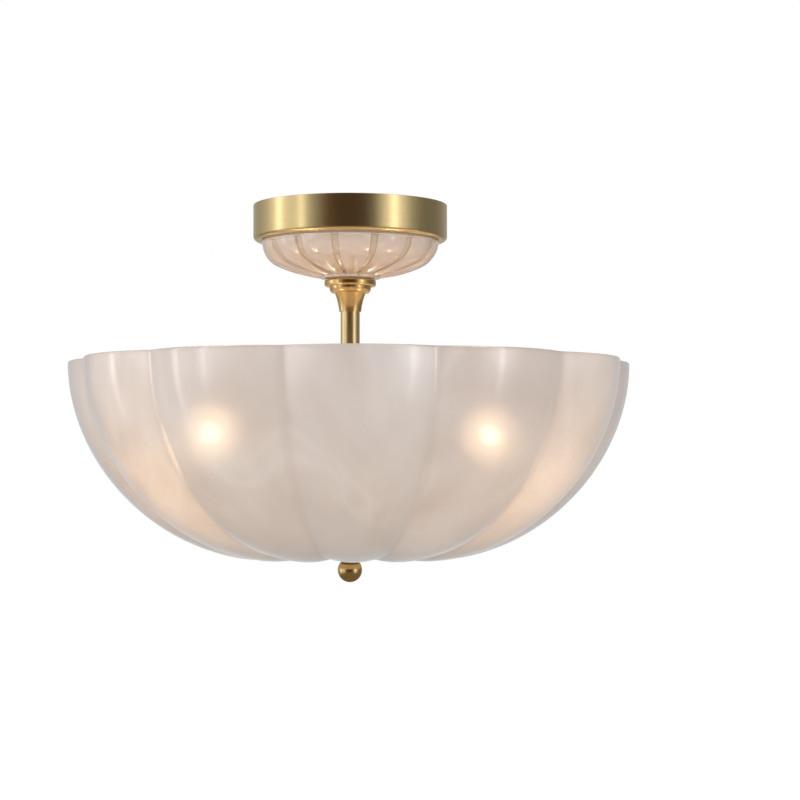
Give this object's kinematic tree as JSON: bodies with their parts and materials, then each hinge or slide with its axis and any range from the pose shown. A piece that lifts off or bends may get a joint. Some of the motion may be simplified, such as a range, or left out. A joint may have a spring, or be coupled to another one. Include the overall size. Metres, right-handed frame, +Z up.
{
  "type": "semi-flush ceiling light",
  "caption": "Semi-flush ceiling light: lobed cloudy glass bowl hung by a brass stem from a canopy with a ribbed glass dish.",
  "frame": {"origin": "centre of the ceiling plane, midway between the bracket's two slots", "axes": "+Z up into the ceiling, -Y towards the picture's viewer, +X to the viewer's right"},
  "size_m": [0.4098, 0.4098, 0.2754],
  "materials": {
    "zinc_steel": "bright zinc plate",
    "nylon": "natural nylon",
    "brown_lead": "brown insulation",
    "blue_lead": "blue insulation",
    "earth_lead": "green and yellow insulation",
    "white_lead": "silicone insulation",
    "satin_brass": "satin brushed and lacquered",
    "polished_brass": "polished",
    "ribbed_glass": "cloudy pressed glass, glossy",
    "cloudy_glass": "cloudy marbled glass, satin",
    "gasket_rubber": "clear silicone rubber",
    "fibre": "fibre",
    "holder_ceramic": "unglazed steatite",
    "thread_brass": "bare sheet brass",
    "cap_nickel": "nickel plate",
    "bulb_plastic": "white moulded",
    "opal_globe": "opal",
    "light_board": "white board with pale chips"
  },
  "bodies": {
    "fixed_frame": {"ceiling_bracket": "zinc_steel", "earth_screw": "zinc_steel", "mounting_nipple": "zinc_steel", "lock_nuts": "zinc_steel", "terminal_block": "nylon", "terminal_screws": "zinc_steel", "lead_live": "brown_lead", "lead_neutral": "blue_lead", "lead_earth": "earth_lead", "stem_coupler": "polished_brass", "stem_tube": "satin_brass", "hub_body": "satin_brass", "hub_cover": "satin_brass", "hub_screws": "zinc_steel", "hub_connector": "nylon", "holder_leads": "white_lead", "lower_rod": "zinc_steel", "rod_sleeve": "satin_brass", "bowl_top_washer": "satin_brass", "bowl_top_gasket": "gasket_rubber", "holder_arm_1": "satin_brass", "holder_shell_1": "satin_brass", "holder_core_1": "holder_ceramic", "holder_thread_1": "thread_brass", "holder_contact_1": "thread_brass", "holder_arm_2": "satin_brass", "holder_shell_2": "satin_brass", "holder_core_2": "holder_ceramic", "holder_thread_2": "thread_brass", "holder_contact_2": "thread_brass", "holder_arm_3": "satin_brass", "holder_shell_3": "satin_brass", "holder_core_3": "holder_ceramic", "holder_thread_3": "thread_brass", "holder_contact_3": "thread_brass"},
    "canopy": {"canopy_pan": "satin_brass", "canopy_glass": "ribbed_glass", "canopy_gasket": "gasket_rubber"},
    "collar_seat": {"collar_washer": "fibre"},
    "collar": {"collar_ring": "polished_brass"},
    "bowl": {"bowl": "cloudy_glass"},
    "finial_seat": {"bowl_low_gasket": "gasket_rubber", "bowl_low_washer": "satin_brass"},
    "finial": {"ball_finial": "polished_brass"},
    "bulb_1_tip": {"bulb_contact_1": "cap_nickel"},
    "bulb_1": {"bulb_cap_1": "cap_nickel", "bulb_housing_1": "bulb_plastic", "bulb_globe_1": "opal_globe", "bulb_board_1": "light_board"},
    "bulb_2_tip": {"bulb_contact_2": "cap_nickel"},
    "bulb_2": {"bulb_cap_2": "cap_nickel", "bulb_housing_2": "bulb_plastic", "bulb_globe_2": "opal_globe", "bulb_board_2": "light_board"},
    "bulb_3_tip": {"bulb_contact_3": "cap_nickel"},
    "bulb_3": {"bulb_cap_3": "cap_nickel", "bulb_housing_3": "bulb_plastic", "bulb_globe_3": "opal_globe", "bulb_board_3": "light_board"}
  },
  "joints": [
    {"name": "canopy_drop", "type": "slide", "parent": "fixed_frame", "child": "canopy", "axis": [0, 0, -1], "range_m": [0, 0.065]},
    {"name": "collar_travel", "type": "slide", "parent": "canopy", "child": "collar_seat", "axis": [0, 0, -1], "range_m": [0, 0.006]},
    {"name": "collar_turn", "type": "hinge", "parent": "collar_seat", "child": "collar", "pos_m": [0, 0, -0.057], "axis": [0, 0, -1], "range_deg": [0, 2160]},
    {"name": "bowl_drop", "type": "slide", "parent": "fixed_frame", "child": "bowl", "axis": [0, 0, -1], "range_m": [0, 0.12]},
    {"name": "finial_travel", "type": "slide", "parent": "bowl", "child": "finial_seat", "axis": [0, 0, -1], "range_m": [0, 0.008]},
    {"name": "finial_turn", "type": "hinge", "parent": "finial_seat", "child": "finial", "pos_m": [0, 0, -0.2665], "axis": [0, 0, -1], "range_deg": [0, 2880]},
    {"name": "bulb_1_travel", "type": "slide", "parent": "fixed_frame", "child": "bulb_1_tip", "axis": [0.866, -0.5, 0], "range_m": [0, 0.01128]},
    {"name": "bulb_1_turn", "type": "hinge", "parent": "bulb_1_tip", "child": "bulb_1", "pos_m": [0, 0, -0.17], "axis": [0.866, -0.5, 0], "range_deg": [0, 1440]},
    {"name": "bulb_2_travel", "type": "slide", "parent": "fixed_frame", "child": "bulb_2_tip", "axis": [0, 1, 0], "range_m": [0, 0.01128]},
    {"name": "bulb_2_turn", "type": "hinge", "parent": "bulb_2_tip", "child": "bulb_2", "pos_m": [0, 0, -0.17], "axis": [0, 1, 0], "range_deg": [0, 1440]},
    {"name": "bulb_3_travel", "type": "slide", "parent": "fixed_frame", "child": "bulb_3_tip", "axis": [-0.866, -0.5, 0], "range_m": [0, 0.01128]},
    {"name": "bulb_3_turn", "type": "hinge", "parent": "bulb_3_tip", "child": "bulb_3", "pos_m": [0, 0, -0.17], "axis": [-0.866, -0.5, 0], "range_deg": [0, 1440]}
  ],
  "couplings": [
    {"joint": "collar_travel", "follows": "collar_turn", "m_per_rad": 0.00015915},
    {"joint": "finial_travel", "follows": "finial_turn", "m_per_rad": 0.00015915},
    {"joint": "bulb_1_travel", "follows": "bulb_1_turn", "m_per_rad": 0.00044882},
    {"joint": "bulb_2_travel", "follows": "bulb_2_turn", "m_per_rad": 0.00044882},
    {"joint": "bulb_3_travel", "follows": "bulb_3_turn", "m_per_rad": 0.00044882}
  ]
}
